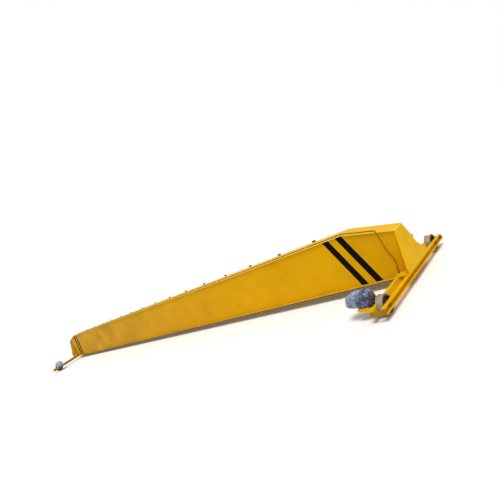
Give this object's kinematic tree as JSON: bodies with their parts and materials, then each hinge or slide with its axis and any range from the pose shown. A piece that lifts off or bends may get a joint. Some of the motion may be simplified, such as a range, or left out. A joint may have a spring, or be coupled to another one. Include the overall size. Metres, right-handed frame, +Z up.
{
  "type": "single-girder overhead bridge crane",
  "caption": "Long box girder with tapered ends on two end carriages with flanged travel wheels and geared drives, for a hoist that runs on its bottom flange.",
  "frame": {"origin": "on the floor under the middle of the girder", "axes": "+X along the girder, -Y to the side with the drives, +Z up"},
  "size_m": [20.2, 3.2, 1.3334],
  "materials": {
    "yellow_paint": "gloss enamel",
    "wheel_iron": "cast, rusty, tread worn",
    "axle_steel": "turned",
    "gear_case_paint": "dark and greasy",
    "motor_paint": "satin blue grey",
    "film": "thin crumpled film",
    "cable_sheath": "matt sheath",
    "gland_plastic": "moulded",
    "cleat_steel": "dull mill steel"
  },
  "bodies": {
    "bridge": {"bearing_caps_left": "yellow_paint", "bearing_caps_right": "yellow_paint", "cable_clips": "cleat_steel", "cable_drop_left": "cable_sheath", "cable_drop_right": "cable_sheath", "cable_gland_left": "gland_plastic", "cable_gland_right": "gland_plastic", "cable_run": "cable_sheath", "carriage_back_plate_left": "yellow_paint", "carriage_back_plate_right": "yellow_paint", "carriage_front_plate_left": "yellow_paint", "carriage_front_plate_right": "yellow_paint", "carriage_inner_channel_left": "yellow_paint", "carriage_inner_channel_right": "yellow_paint", "carriage_outer_channel_left": "yellow_paint", "carriage_outer_channel_right": "yellow_paint", "carriage_seat_plate_left": "yellow_paint", "carriage_seat_plate_right": "yellow_paint", "carriage_tie_plates_left": "yellow_paint", "carriage_tie_plates_right": "yellow_paint", "drive_motor_left": "motor_paint", "drive_motor_right": "motor_paint", "fan_cowl_left": "motor_paint", "fan_cowl_right": "motor_paint", "flange_cleats": "cleat_steel", "gear_case_left": "gear_case_paint", "gear_case_right": "gear_case_paint", "girder_bottom_flange": "yellow_paint", "girder_end_plate_left": "yellow_paint", "girder_end_plate_right": "yellow_paint", "girder_sloping_flange_left": "yellow_paint", "girder_sloping_flange_right": "yellow_paint", "girder_top_flange": "yellow_paint", "girder_web_back": "yellow_paint", "girder_web_front": "yellow_paint", "motor_bracket_left": "yellow_paint", "motor_bracket_right": "yellow_paint", "motor_film_left": "film", "motor_film_right": "film", "terminal_box_left": "motor_paint", "terminal_box_right": "motor_paint"},
    "wheelset_front_right": {"wheel_front_right": "wheel_iron", "axle_front_right": "axle_steel"},
    "wheelset_back_right": {"wheel_back_right": "wheel_iron", "axle_back_right": "axle_steel"},
    "wheelset_front_left": {"wheel_front_left": "wheel_iron", "axle_front_left": "axle_steel"},
    "wheelset_back_left": {"wheel_back_left": "wheel_iron", "axle_back_left": "axle_steel"}
  },
  "joints": [
    {"name": "wheel_front_right_turn", "type": "hinge", "parent": "bridge", "child": "wheelset_front_right", "pos_m": [9.955, -1.31, 0.1825], "axis": [1, 0, 0], "continuous": true},
    {"name": "wheel_back_right_turn", "type": "hinge", "parent": "bridge", "child": "wheelset_back_right", "pos_m": [9.955, 1.31, 0.1825], "axis": [1, 0, 0], "continuous": true},
    {"name": "wheel_front_left_turn", "type": "hinge", "parent": "bridge", "child": "wheelset_front_left", "pos_m": [-9.955, -1.31, 0.1825], "axis": [1, 0, 0], "continuous": true},
    {"name": "wheel_back_left_turn", "type": "hinge", "parent": "bridge", "child": "wheelset_back_left", "pos_m": [-9.955, 1.31, 0.1825], "axis": [1, 0, 0], "continuous": true}
  ]
}
